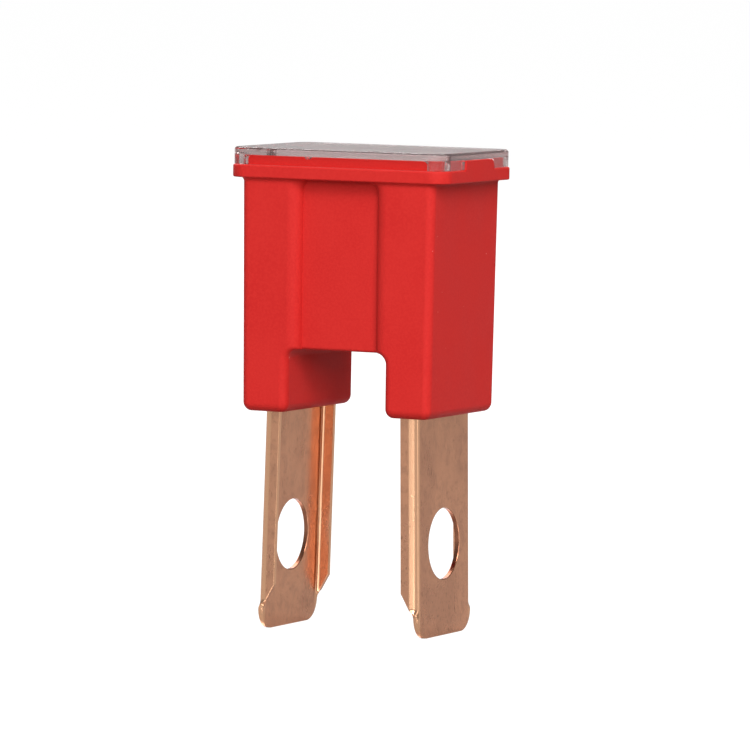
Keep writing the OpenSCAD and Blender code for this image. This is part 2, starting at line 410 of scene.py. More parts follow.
copperSheet = {
    "clean": (0.74, 0.372, 0.222, 1),
    "tarnished": (0.57, 0.288, 0.180, 1),
    "bareAndPaintedHighlight": (0.82, 0.46, 0.27, 1),  # painted highlight along the folds and the flanges' free edges; on the cut edges also the brighter bare metal
    "nick": (0.20, 0.09, 0.05, 1),
    # painted shade for the walls of the holes
    "paintedHoleShade": (0.26, 0.09, 0.05, 1),
    "edgeTint": (0.70, 0.66, 0.68, 1),
    "roughness": (0.20, 0.29),
    "roughnessRange": (0.3, 0.7),  # of the cloud
    "highlightRoughness": 0.15,
    "unbentRoughness": 0.4,  # more than the sheet's own, so it only counts near the folds
    "cloud": {
        "scale": (240, 240, 140), "detail": 5, "rough": 0.6, "range": (0.35, 0.68), "share": 0.75
    },
    "blot": {
        "scale": (1100, 1100, 900), "detail": 4, "rough": 0.65, "range": (0.46, 0.68), "share": 0.7
    },
    "stain": {"scale": (4600, 4600, 3600), "detail": 3, "range": (0.5, 0.8), "share": 0.3},
    "pits": {"scale": (6500, 6500, 3400), "detail": 2, "range": (0.675, 0.715), "share": 1},
    "scratches": {"scale": (3500, 6500, 1100), "detail": 2, "range": (0.66, 0.70), "share": 0.8},
    "scratchTurn": 28,  # degrees
    "nickPlaces": (0.48, 0.6),  # range of the cloud in which pits and scratches come in
    "rolling": {"scale": (9000, 9000, 260), "detail": 3},
    "nickShare": 0.75,
    # how strongly the painted highlight shows
    "paintedHighlightShare": 0.85,
    "rollStrength": 0.5,
    "rollDepth": 0.0000012,
    "nickDepth": 0.00001,
}

# where a highlight is painted into the copper's colour: along the folds and the flanges' free edges
paintedHighlightBands = {
    "foldWide": 0.15,  # millimetres, over which the band comes in at the fold
    "foldDeep": (0.75, 0.6),  # behind the blade's face: where it begins and where it's full
    "freeEdge": (0.03, 0.07),  # in from the flange's free edge: where it's full and where it ends
    "fadeOut": 0.2,  # above the legs' feet
}


def paintedHighlightZones(tree):
    # 1 along the folds of the blades and on the free edges of their flanges, where the highlight is
    # painted into the colour
    b = paintedHighlightBands
    where = addNode(tree, "ShaderNodeTexCoord").outputs["Object"]
    axes = addNode(tree, "ShaderNodeSeparateXYZ", Vector=where).outputs
    aside = calculate(tree, "ABSOLUTE", axes["X"])
    across = calculate(tree, "ABSOLUTE", axes["Y"])
    lean = abs(math.tan(math.asin(rightBore["axis"][2])))
    # the blades lean outwards: their faces stay at one value of this
    leaned = calculate(tree, "MULTIPLY", axes["Z"], lean)
    leaned = calculate(tree, "ADD", aside, leaned)
    face = inside["bladeX"] + (legZ + inside["bendUp"]) * lean
    foldY = inside["bladeY"] - inside["foldR"]
    fold = remap(tree, across, foldY * mm, (foldY + b["foldWide"]) * mm)
    begins, full = b["foldDeep"]
    deep = remap(tree, leaned, (face - begins) * mm, (face - full) * mm)
    fold = calculate(tree, "MULTIPLY", fold, deep)
    freeX = face - inside["flangeH"]
    full, ends = b["freeEdge"]
    free = remap(tree, leaned, (freeX + full) * mm, (freeX + ends) * mm, 1, 0)
    below = remap(tree, axes["Z"], legZ * mm, (legZ + b["fadeOut"]) * mm, 1, 0)
    return calculate(tree, "MULTIPLY", calculate(tree, "MAXIMUM", fold, free), below)


def makeCopper(name, bare, dull):
    # cut edges show bare copper, whose colour is lifted towards the painted highlight; the holes'
    # walls get painted shade, a darker colour
    p = copperSheet
    material, tree = newMaterial(name)
    cloud = noise(tree, p["cloud"])
    blot = noise(tree, p["blot"])
    pits = noise(tree, p["pits"])
    scratch = noise(tree, p["scratches"], p["scratchTurn"])
    rolled = noise(tree, p["rolling"])
    colour = mixColour(tree, share(tree, cloud, p["cloud"]), p["clean"], p["tarnished"])
    colour = mixColour(tree, share(tree, blot, p["blot"]), colour, p["tarnished"])
    pits = share(tree, pits, p["pits"])
    nicks = calculate(tree, "MAXIMUM", pits, share(tree, scratch, p["scratches"]))
    nicks = calculate(tree, "MULTIPLY", nicks, remap(tree, cloud, *p["nickPlaces"]))
    colour = mixColour(tree, calculate(tree, "MULTIPLY", nicks, p["nickShare"]), colour, p["nick"])
    stain = noise(tree, p["stain"])
    colour = mixColour(tree, share(tree, stain, p["stain"]), colour, p["nick"])
    # painted highlight along the folds, the free edges and the cut edges; the same mask also makes
    # the copper smoother there
    bent = calculate(tree, "MAXIMUM", paintedHighlightZones(tree), bare)
    paintedHighlightAmount = calculate(tree, "MULTIPLY", bent, p["paintedHighlightShare"])
    colour = mixColour(tree, paintedHighlightAmount, colour, p["bareAndPaintedHighlight"])
    # painted shade: the holes' walls are darkened
    colour = mixColour(tree, dull, colour, p["paintedHoleShade"])
    rough = remap(tree, cloud, *p["roughnessRange"], *p["roughness"])
    smoother = remap(tree, bent, 0, 1, p["unbentRoughness"], p["highlightRoughness"])
    rough = calculate(tree, "MINIMUM", rough, smoother)
    height = calculate(tree, "MULTIPLY", nicks, -p["nickDepth"] / p["rollDepth"])
    height = calculate(tree, "ADD", height, rolled)
    shader = addNode(
        tree,
        "ShaderNodeBsdfPrincipled",
        **{
            "Base Color": colour,
            "Metallic": 1.0,
            "Roughness": rough,
            "Specular Tint": p["edgeTint"],
        },
    )
    bump = bumpFrom(tree, height, p["rollStrength"], p["rollDepth"])
    tree.links.new(bump, shader.inputs["Normal"])
    finishShader(tree, shader.outputs[0])
    return material


# tin, melted and dull

tin = {
    "bright": (0.58, 0.58, 0.56, 1),
    "grey": (0.42, 0.42, 0.41, 1),
    "roughness": (0.3, 0.5),
    "cloud": {"scale": (1500, 1500, 1500), "detail": 3, "range": (0.3, 0.7), "share": 1},
    "bumpStrength": 0.6,
    "bumpDepth": 0.00001,
}


def makeTin():
    p = tin
    material, tree = newMaterial("tin")
    cloud = noise(tree, p["cloud"])
    colour = mixColour(tree, share(tree, cloud, p["cloud"]), p["bright"], p["grey"])
    shader = addNode(tree, "ShaderNodeBsdfPrincipled", **{"Base Color": colour, "Metallic": 1.0})
    rough = remap(tree, cloud, *p["cloud"]["range"], *p["roughness"])
    tree.links.new(rough, shader.inputs["Roughness"])
    bump = bumpFrom(tree, cloud, p["bumpStrength"], p["bumpDepth"])
    tree.links.new(bump, shader.inputs["Normal"])
    finishShader(tree, shader.outputs[0])
    return material


# housing: body with legs, rim, cover seat, and the hollow inside; all sizes in millimetres

shell = {
    "bodyX": 8.15,  # half widths of the body at the rim
    "bodyY": 6.1,
    "draft": 0.53,  # degrees that the sides draw in towards the feet
    "footR": 0.7,
    "edgeR": 0.66,  # upright edges
    "notchX": 4.13,
    "notchH": 4.9,
    "notchR": 0.75,
    "notchEdge": 0.24,  # edge of the roof over the notch
    "rimH": 0.98,
    "rimR": 1.5,
    "rimEdge": (0.11, 0.14),  # below and above
    "rimFillet": 0.32,
    "recessX": 3.22,  # half width of the recess's floor
    "recessD": 0.85,
    "recessR": 0.85,
    "recessTop": 0.1,  # below the rim
    "roundOver": 1.04,  # how wide the rounding from the front into the recess is
    "seatX": 8.4,
    "seatY": 5.6,
    "seatR": 0.75,
    "seatEdge": 0.08,
    "tabW": 5.1,
    "tabR": 0.55,  # upper corner: at the rear of the right tab and the front of the left one
    "tabSharpR": 0.08,  # its other upper corner
    "tabEdge": 0.07,
    "tabBack": 0.003,  # keeps the tab's face just behind the rim's
    "tabReach": 0.5,  # over the seat
    "seatSunk": 0.3,  # into the rim, so that they join
    "tabSunk": 0.4,
    "bodySunk": 0.05,
    "filletLevels": (0.98, 0.75, 0.5, 0.28, 0.1),  # where edges are cut for it
}
legZ = housingLow.z
seatZ = coverLow.z
plateZ = housingHigh.z
rimZ = seatZ - shell["rimH"]
rimX, rimY = housingHigh.x, housingHigh.y
notchZ = legZ + shell["notchH"]

inside = {
    "bladeX": 6.5,  # outer face of the blades where they leave the legs
    "bladeY": 4.9,
    "flangeH": 1.38,
    "sheet": 0.4,
    "foldR": 0.7,
    "fit": 0.1,
    "floorT": 1.2,
    "bendUp": 0.3,  # height in the leg at which the blades start to lean
    "innerWall": 0.85,
    "chamberY": 4.05,
    "ribTop": 2.8,  # below the cover
    "flangeTop": 5.9,  # below the cover
    "wellOverlap": 0.3,  # how far the chamber opens into the wells over the ribs
    "cornerR": 0.2,
    "slotR": 0.04,
}
past = 1  # how far cutting pieces stand out of what they cut


def fromRecessCorner(x, z):
    r = shell["recessR"]
    return abs(x) - (shell["recessX"] - r), z - (rimZ - shell["recessTop"] - r)


def roundRecessCorner(x, z):
    # turns the square grid of edges round the recess's upper corners into round ones
    dx, dz = fromRecessCorner(x, z)
    if min(dx, dz) <= 0:
        return x, z
    reach = shell["recessR"] + shell["roundOver"]
    square = max(dx, dz)
    fade = min(1, max(0, 2 - square / reach))  # full within reach, gone at twice that
    pull = 1 + (square / math.hypot(dx, dz) - 1) * fade
    return x - math.copysign(dx * (1 - pull), x), z - dz * (1 - pull)


def recessDepth(x, z):
    # a rounded rectangle, open below: its edge is rounded over and drops to a sharp corner
    dx, dz = fromRecessCorner(x, z)
    outside = math.hypot(max(dx, 0), max(dz, 0)) + min(max(dx, dz), 0) - shell["recessR"]
    across = min(1, max(0, 1 - outside / shell["roundOver"]))
    return shell["recessD"] * (1 - math.sqrt(1 - across * across))


def bodyOutline():
    # seen from the front: the left foot, the notch's roof, the right foot, and a top inside the rim
    bx, nx, fr, nr = shell["bodyX"], shell["notchX"], shell["footR"], shell["notchR"]
    top = seatZ - shell["bodySunk"]
    footZ, roofZ = legZ + fr, notchZ - nr
    steps = 8
    left = arc(fr - bx, footZ, fr, 180, 270, steps) + arc(-nx - fr, footZ, fr, 270, 360, steps)
    roof = arc(nr - nx, roofZ, nr, 180, 90, steps) + arc(nx - nr, roofZ, nr, 90, 0, steps)
    right = arc(nx + fr, footZ, fr, 180, 270, steps) + arc(bx - fr, footZ, fr, 270, 360, steps)
    outline = left + roof + right + [(bx, top), (-bx, top)]
    fade = [i / steps for i in range(steps + 1)]
    wide, thin = shell["edgeR"], shell["notchEdge"]
    edges = [wide] * len(left) + [wide + (thin - wide) * f for f in fade]
    edges += [thin + (wide - thin) * f for f in fade] + [wide] * (len(right) + 2)
    return outline, edges


def shapeBody(co):
    # sinks the recesses, draws the sides in and adds the fillet under the rim
    x, y, z = co
    fillet = shell["rimFillet"]
    if abs(y) > shell["bodyY"] - shell["edgeR"]:
        x, z = roundRecessCorner(x, z)
    y *= 1 - recessDepth(x, z) / shell["bodyY"]
    drawn = max(0, rimZ - z) * math.tan(math.radians(shell["draft"]))
    y *= 1 - drawn / shell["bodyY"]
    outer = max(0, (abs(x) - shell["notchX"]) / (shell["bodyX"] - shell["notchX"]))
    x -= math.copysign(drawn * outer, x)
    up = fillet - max(0, rimZ - z)
    if up > 0:
        up = min(up, fillet * 0.999)  # just short of its lip
        grow = fillet - math.sqrt(fillet * fillet - up * up)
        coreX = shell["bodyX"] - shell["edgeR"]
        coreY = shell["bodyY"] - shell["recessD"] - shell["edgeR"]
        away = Vector((
            math.copysign(max(0, abs(x) - coreX), x),
            math.copysign(max(0, abs(y) - coreY), y),
        ))
        if away.length > 1e-6:
            away.normalize()
            x += away.x * grow
            y += away.y * grow
    return (x, y, z)


def cutChannelSlot(side):
    # the slot through a leg's floor that a folded blade passes
    g, t, half = inside["fit"], inside["sheet"], inside["bladeY"]
    out, free = inside["bladeX"] + g, inside["bladeX"] - inside["flangeH"] - g
    ro, ri = inside["foldR"] + g, inside["slotR"]
    inner = half - t - g
    web = out - t - 2 * g - ri
    outline = (
        [(free, -half - g)]
        + arc(out - ro, ro - half - g, ro, -90, 0, 6)
        + arc(out - ro, half + g - ro, ro, 0, 90, 6)
        + [(free, half + g), (free, inner)]
        + arc(web, inner - ri, ri, 90, 0, 2)
        + arc(web, ri - inner, ri, 0, -90, 2)
        + [(free, -inner)]
    )
    if side < 0:
        outline = [(-x, y) for x, y in reversed(outline)]
    return plate("slot", outline, legZ - past, legZ + inside["floorT"] + past / 2, alongZ)


def hollow(x0, x1, halfY, z0):
    outline = roundRect(x0, x1, -halfY, halfY, inside["cornerR"], 4)
    return plate("hollow", outline, z0, plateZ + past, alongZ)


def makeBody():
    # a thick plate in the shape of the front, cut into strips that shapeBody then moves
    outline, edges = bodyOutline()
    body = plate("housing_shell", outline, -shell["bodyY"], shell["bodyY"], alongY, edges, edges, 7)
    # edges for the recess's corners, for the rounding beside them, and for the fillet
    r = shell["recessR"]
    corner = [r * (math.tan(t) - 1) for t in spread(0, math.pi / 4, 7)]
    over = [shell["roundOver"] * (1 - math.sin(t)) for t in spread(0, math.pi / 2 * 0.96, 12)]
    across = [(shell["recessX"] + d) * side for d in corner + over for side in (-1, 1)]
    slices(body, (1, 0, 0), across)
    slices(body, (0, 0, 1), [rimZ - shell["recessTop"] + d for d in corner + over])
    fillet = [rimZ - shell["rimFillet"] * f for f in shell["filletLevels"]]
    slices(body, (0, 0, 1), fillet + [rimZ + 0.03])
    for v in body.data.vertices:
        v.co = shapeBody(v.co)
    return body


def addRimAndSeat(body):
    rim = roundRect(-rimX, rimX, -rimY, rimY, shell["rimR"], 12)
    combine(body, plate("rim", rim, rimZ, seatZ, alongZ, *shell["rimEdge"], 5), "UNION")
    sx, sy = shell["seatX"], shell["seatY"]
    seat = roundRect(-sx, sx, -sy, sy, shell["seatR"], 8)
    low = seatZ - shell["seatSunk"]
    combine(body, plate("seat", seat, low, plateZ, alongZ, 0.0, shell["seatEdge"], 3), "UNION")


def addEndTab(body, side):
    half = shell["tabW"] / 2
    r, sharpR, edge = shell["tabR"], shell["tabSharpR"], shell["tabEdge"]
    foot = seatZ - shell["tabSunk"]
    profile = [(-half, foot), (half, foot)] + arc(half - r, plateZ - r, r, 0, 90, 6)
    profile += arc(sharpR - half, plateZ - sharpR, sharpR, 90, 180, 3)
    profile = [(y * side, z) for y, z in (profile if side > 0 else reversed(profile))]
    inner, outer = shell["seatX"] - shell["tabReach"], rimX - shell["tabBack"]
    low, high = (inner, outer) if side > 0 else (-outer, -inner)
    combine(body, plate("tab", profile, low, high, alongX, edge, edge, 3), "UNION")


def hollowOut(body):
    # the blades' wells, the slots below them, and the chamber, open to the wells over its ribs
    lean = abs(math.asin(rightBore["axis"][2]))
    bendZ = legZ + inside["bendUp"]
    floorZ, roofZ = legZ + inside["floorT"], notchZ + inside["floorT"]
    free = inside["bladeX"] - inside["flangeH"] - inside["fit"]
    legWellX = free - (roofZ - bendZ) * math.tan(lean)
    topWellX = free - (plateZ - inside["flangeTop"] - bendZ) * math.tan(lean)
    out = inside["bladeX"] + inside["fit"]
    wellY = inside["bladeY"] + inside["fit"]
    for side in (1, -1):
        for inner, z0 in ((legWellX, floorZ), (topWellX, roofZ)):
            low, high = (inner, out) if side > 0 else (-out, -inner)
            combine(body, hollow(low, high, wellY, z0), "DIFFERENCE")
        combine(body, cutChannelSlot(side), "DIFFERENCE")
    wallX, ribX = legWellX - inside["innerWall"], legWellX + inside["wellOverlap"]
    combine(body, hollow(-wallX, wallX, inside["chamberY"], roofZ), "DIFFERENCE")
    ribZ = plateZ - inside["ribTop"]
    combine(body, hollow(-ribX, ribX, inside["chamberY"], ribZ), "DIFFERENCE")


def buildHousing(material):
    body = makeBody()
    addRimAndSeat(body)
    for side in (1, -1):
        addEndTab(body, side)
    hollowOut(body)
    finishPiece(body, "housing", [material])


# cover: one clear moulding with four corner skirts

coverSizes = {
    "cornerR": 1.4,
    "topEdge": 0.22,
    "lowEdge": 0.06,
    "skirtT": 0.65,
    "skirtL": 1.4,  # of a skirt's side along the front
    "windowR": 0.35,
    "gap": 0.02,  # keeps the clear faces off the red ones
    "tabGap": 0.1,  # on each side of the housing's end tabs
    "gateW": 0.5,
    "gateX": 2.4,
    "gateUp": 0.05,  # how far its flat top is sunk into the plate
    "gateY": (0.02, 0.45),  # in from the cover's front
    "gateEdge": 0.05,
}


def buildCover(material):
    c = coverSizes
    x, y = coverHigh.x, coverHigh.y
    under = plateZ + c["gap"]
    low = seatZ + c["gap"]
    outline = roundRect(-x, x, -y, y, c["cornerR"], 12)
    cover = plate("clear_cover", outline, low, coverHigh.z, alongZ, c["lowEdge"], c["topEdge"], 6)
    ix, iy = x - c["skirtT"], y - c["skirtT"]
    pocket = roundRect(-ix, ix, -iy, iy, c["cornerR"] - c["skirtT"], 8)
    combine(cover, plate("pocket", pocket, low - past, under, alongZ), "DIFFERENCE")
    # a window in each side leaves the skirts at the corners only
    wx, wy, r = x - c["skirtL"], shell["tabW"] / 2 + c["tabGap"], c["windowR"]
    for half, place, reach in ((wx, alongY, y + past), (wy, alongX, x + past)):
        window = [(-half, low - past), (half, low - past)]
        window += arc(half - r, under - r, r, 0, 90, 5) + arc(r - half, under - r, r, 90, 180, 5)
        combine(cover, plate("window", window, -reach, reach, place), "DIFFERENCE")
    gate = arc(-c["gateX"], under + c["gateUp"], c["gateW"] / 2, 180, 360, 8)
    front, back = (d - y for d in c["gateY"])
    edge = c["gateEdge"]
    combine(cover, plate("gate", gate, front, back, alongY, edge, edge, 2), "UNION")
    finishPiece(cover, "cover", [material])
    return cover


# fuse element: a flat blank, cut and rounded, then bent along its length and across its folds

elementSizes = {
    "webFlat": 4.2,  # half width of the flat web
    "flangeEnd": 3.45,  # height of the cut at the flange's free edge
    "flangeR": 0.3,
    "foldFrom": 1.55,  # height at which the flat tip begins to fold
    "foldRun": 0.8,  # how much further up it is folded square
    "foldLevels": (1.5, 2.45),  # edges are cut from here to here for that
    "tongueHalf": 4.75,
    "tongueR": 1.7,
    "tongueH": 1.85,
    "holeUp": 7.05,
    "holePoints": 64,
    "neckUp": 30.74,
    "neckR": 0.5,
    "mitreUp": 0.9,  # over the neck, where the leaning sheet is bent upright
    "mitreR": 0.4,
    "armHalf": 1.6,
    "armR": 0.3,
    "linkHalf": 0.65,
    "linkBeyond": 3.05,  # sheet past the trough's half width that is as narrow as the link
    "bendR": 0.6,  # neutral radius of the bends in the arm and link
    "troughHalf": 3.0,
    "troughDepth": 2.2,
    "clawW": 1.1,
    "clawR": 0.15,
    "clawFoldR": 0.3,
    "clawGap": 0.7,
    "edge": 0.06,
}
neutralR = inside["foldR"] - inside["sheet"] / 2  # of the blades' folds
foldEnd = elementSizes["webFlat"] + neutralR * math.pi / 2
farOut = 9  # longer than any flange or claw


def clawFold():
    # where the claws' first fold begins, and how long they stand straight between their two folds
    half = elementSizes["clawFoldR"] - inside["sheet"] / 2
    return pelletHigh.y - half, pelletHigh.z - pelletLow.z - 2 * half


def bendPath():
    # the middle of the sheet's thickness, from the right blade's tip to the middle of the link
    e = elementSizes
    t = inside["sheet"]
    lean = math.asin(rightBore["axis"][2])
    up = Vector((-math.sin(lean), math.cos(lean)))
    bore = Vector((rightBore["pos_m"][0] / mm, rightBore["pos_m"][2] / mm))
    tip = bore - up * e["holeUp"]
    mitreZ = e["neckUp"] + e["mitreUp"]
    first = (mitreZ - tip.y) / up.y
    neckX = tip.x + up.x * first
    midZ = elementTop - t / 2
    r = e["bendR"]
    inTrough = e["troughHalf"] - t / 2
    path = [
        ("straight", first),
        ("bend", -lean, e["mitreR"]),
        ("straight", midZ - r - mitreZ),
        ("bend", math.pi / 2, r),
        ("straight", neckX - r - (inTrough + r)),
        ("bend", math.pi / 2, r),
        ("straight", e["troughDepth"] - t - 2 * r),
        ("bend", -math.pi / 2, r),
        ("straight", inTrough - r),
    ]
    return tip, math.pi / 2 + lean, path


def pathPieces():
    # each step with its start: how far along, the point, and the heading
    tip, heading, path = bendPath()
    pieces = []
    at, u = tip.copy(), 0.0
    for step in path:
        length = step[1] if step[0] == "straight" else abs(step[1]) * step[2]
        pieces.append((u, length, at.copy(), heading, step))
        if step[0] == "straight":
            at += Vector((math.cos(heading), math.sin(heading))) * length
        else:
            side = math.copysign(1, step[1])
            centre = at + Vector((-math.sin(heading), math.cos(heading))) * step[2] * side
            at = centre + Matrix.Rotation(step[1], 2) @ (at - centre)
            heading += step[1]
        u += length
    return pieces, u


pathParts, pathLength = pathPieces()


def onPath(u):
    # point, and the direction away from the middle of the fuse, at u along the sheet
    for start, length, at, heading, step in reversed(pathParts):
        if u >= start - 1e-6:
            break
    if step[0] == "straight":
        point = at + Vector((math.cos(heading), math.sin(heading))) * (u - start)
    else:
        side = math.copysign(1, step[1])
        turn = step[1] * (u - start) / length
        centre = at + Vector((-math.sin(heading), math.cos(heading))) * step[2] * side
        point = centre + Matrix.Rotation(turn, 2) @ (at - centre)
        heading += turn
    return point, Vector((math.sin(heading), -math.cos(heading)))


def foldAcross(v, n, start, bends):
    # how far across and how deep a point lies after folds of (neutral radius, angle, straight)
    if v <= start:
        return v, n
    at, depth, heading = start, 0.0, 0.0
    rest = v - start
    for radius, angle, straight in bends:
        length = radius * angle
        part = min(rest, length)
        turn = part / radius
        at += radius * (math.sin(heading + turn) - math.sin(heading))
        depth += radius * (math.cos(heading + turn) - math.cos(heading))
        heading += turn
        rest -= part
        part = min(rest, straight)
        at += part * math.cos(heading)
        depth -= part * math.sin(heading)
        rest -= part
        if rest <= 1e-9:
            break
    return at + n * math.sin(heading), depth + n * math.cos(heading)


def bendElement(co):
    e = elementSizes
    u, v, n = co
    side = math.copysign(1, v)
    across, depth = abs(v), n
    if u < e["neckUp"] + 1:
        amount = min(1, max(0, (u - e["foldFrom"]) / e["foldRun"]))
        amount = amount * amount * (3 - 2 * amount)
        if amount > 0.01:
            angle = math.pi / 2 * amount
            fold = (neutralR * math.pi / 2 / angle, angle, farOut)
            across, depth = foldAcross(abs(v), n, e["webFlat"], [fold])
    elif u > pathLength - e["clawW"]:
        foot, rise = clawFold()
        folds = [(e["clawFoldR"], math.pi / 2, straight) for straight in (rise, farOut)]
        across, depth = foldAcross(abs(v), -n, foot, folds)
        depth = -depth
    point, out = onPath(u)
    point = point + out * depth
    return (point.x, side * across, point.y)


def blankOutline():
    # right half of the flat blank: u along it from the blade's tip, v across
    e = elementSizes
    freeEdge = foldEnd + inside["flangeH"] - inside["foldR"]
    top = e["neckUp"]
    foot, rise = clawFold()
    clawEnd = foot + e["clawFoldR"] * math.pi + rise + foot - e["clawGap"] / 2
    pad = pathLength - e["clawW"] / 2
    tongueR, flangeR, neckR = e["tongueR"], e["flangeR"], e["neckR"]
    armR, clawR = e["armR"], e["clawR"]
    half = arc(tongueR, e["tongueHalf"] - tongueR, tongueR, 180, 90, 10)
    half += [(e["tongueH"], e["tongueHalf"])]
    half += arc(e["flangeEnd"] + flangeR / 2, freeEdge - flangeR, flangeR, 135, 90, 3)
    half += arc(top - flangeR, freeEdge - flangeR, flangeR, 90, 0, 4)
    half += [(top, e["armHalf"] + neckR)]
    half += arc(top + neckR, e["armHalf"] + neckR, neckR, 180, 270, 4)
    armEnd = pathLength - e["troughHalf"] - e["linkBeyond"]
    half += arc(armEnd - armR, e["armHalf"] - armR, armR, 90, 0, 4)
    half += arc(armEnd + armR, e["linkHalf"] + armR, armR, 180, 270, 4)
    half += [(pad, e["linkHalf"])]
    half += arc(pad + clawR, clawEnd - clawR, clawR, 180, 90, 3)
    half += [(pathLength, clawEnd)]
    # the outline runs anticlockwise in (u, v): lower side first, then the seam, then the upper side
    lower = [(u, -v) for u, v in half]
    return lower + list(reversed(half))


def punchHole(blank, r):
    # a bore with its rims broken like the sheet's edges
    e = elementSizes
    face, edge = inside["sheet"] / 2, e["edge"]
    levels = [-face - past / 10]
    levels += [-face + edge * f for f in (0, 0.3, 1)] + [face - edge * f for f in (1, 0.3, 0)]
    levels += [face + past / 10]
    last = e["holePoints"] - 1
    rings = []
    for level in levels:
        near = min(1, max(0, (abs(level) - (face - edge)) / edge))
        wide = r + edge * (1 - math.sqrt(1 - near * near))
        circle = arc(e["holeUp"], 0, wide, 0, 360 * last / e["holePoints"], last)
        rings.append([(a, b, level) for a, b in circle])
    combine(blank, loft("boltHole", rings), "DIFFERENCE")


def sliceForBends(blank):
    e = elementSizes
    folds = spread(e["webFlat"], foldEnd, 11)
    slices(blank, (0, 1, 0), [v * side for v in folds for side in (-1, 1)])
    slices(blank, (1, 0, 0), spread(*e["foldLevels"], 9))
    for start, length, at, heading, step in pathParts:
        if step[0] == "bend":
            slices(blank, (1, 0, 0), spread(start, start + length, 3 if step[2] < 0.5 else 9))
    foot, rise = clawFold()
    quarter = e["clawFoldR"] * math.pi / 2
    clawFolds = spread(foot, foot + quarter, 6)
    clawFolds += [v + quarter + rise for v in clawFolds]
    slices(blank, (0, 1, 0), [v * side for v in clawFolds for side in (-1, 1)])


def buildElement(materials):
    e = elementSizes
    face = inside["sheet"] / 2
    outline = blankOutline()
    edges = [0.0 if u > pathLength - 0.01 else e["edge"] for u, v in outline]
    blank = plate("copper_element", outline, -face, face, alongZ, edges, edges, 3)
    r = rightBore["dims"]["r_mm"]
    punchHole(blank, r)
    sliceForBends(blank)
    bm = bmesh.new()
    bm.from_mesh(blank.data)
    for f in bm.faces:
        middle = f.calc_center_median()
        fromHole = math.hypot(middle.x - e["holeUp"], middle.y)
        edgeKind = 2 if fromHole < r + e["edge"] / 2 else 1  # 2 for the holes' walls, which get painted shade, 1 for the cut edges
        f.material_index = 0 if abs(f.normal.z) > 0.98 else edgeKind
    # the half is left open at the link's middle, where the mirror joins it to the other
    seam = [f for f in bm.faces if all(v.co.x > pathLength - 1e-3 for v in f.verts)]
    bmesh.ops.delete(bm, geom=seam, context="FACES")
    for v in bm.verts:
        v.co = bendElement(v.co)
    bm.to_mesh(blank.data)
    bm.free()
    mirror = blank.modifiers.new("otherHalf", "MIRROR")
    mirror.use_axis = (True, False, False)
    mirror.merge_threshold = 0.002
    applyModifiers(blank)
    finishPiece(blank, "fuse_element", materials, sharpDeg=20)


pelletSizes = {
    "inset": 0.02,  # keeps it off the claws
    "cornerR": 0.25,
    "edge": 0.12,
}


def buildPellet(material):
    low, high = pelletLow, pelletHigh
    inset, edge = pelletSizes["inset"], pelletSizes["edge"]
    x0, x1, y0, y1 = low.x + inset, high.x - inset, low.y + inset, high.y - inset
    outline = roundRect(x0, x1, y0, y1, pelletSizes["cornerR"], 6)
    pellet = plate("solder_pellet", outline, low.z + inset, high.z - inset, alongZ, edge, edge, 4)
    finishPiece(pellet, "tin_pellet", [material])


# floor, lights and camera

studio = {
    "floorHalf": 12,  # metres
    "floorGrey": 0.22,
    "floorGlow": 0.90,  # added for the camera only, so that the paper looks white
    "floorGlowInMetal": 0.2,
    "floorSheen": 0.45,  # seen by the shiny pieces only
    "floorRoughness": 0.25,
    "horizon": 0.40,
    "zenith": 0.24,
    "skyFrom": (0.05, 0.6),  # how high the horizon's light ends and the zenith's begins
    "aimHeight": 0.02,  # what the lamps point at
    "lampDistance": 0.6,
}

# azimuths run from straight in front towards the right; metres, degrees and watts
lamps = {
    "key": {"azimuth": 41, "elevation": 31, "size": (0.24, 0.46), "power": 3.0},
    "side": {"azimuth": 100, "elevation": 22, "size": (0.14, 0.6), "power": 0.36},
    "front": {"azimuth": 6, "elevation": 15, "size": (0.4, 0.14), "power": 0.7},
    "back": {"azimuth": 228, "elevation": 40, "size": (0.5, 0.4), "power": 3.2},
    "coverLow": {"azimuth": 206, "elevation": 12, "size": (0.9, 0.3), "power": 0.06},
    "coverHigh": {"azimuth": 222, "elevation": 49, "size": (0.5, 0.28), "power": 2.2},
}
overhead = {"azimuth": 20, "elevation": 42, "angle": 22, "strength": 0.8}
offCover = "key", "front", "back"
onCoverOnly = "coverLow", "coverHigh"
white = (1, 1, 1, 1)

cameraSizes = {
    "azimuth": 25.91,
    "distance": 521.2,  # lengths in millimetres
    "height": 59.18,
    "aimHeight": 19.72,
    "aimAside": 0.52,
    "roll": 0.944,
    "lens": 325.4,
    "sensor": 36,
    "clip": (0.01, 10),  # metres
}


def around(azimuth, elevation, distance):
    a, e = math.radians(azimuth), math.radians(elevation)
    return Vector((math.sin(a) * math.cos(e), -math.cos(a) * math.cos(e), math.sin(e))) * distance


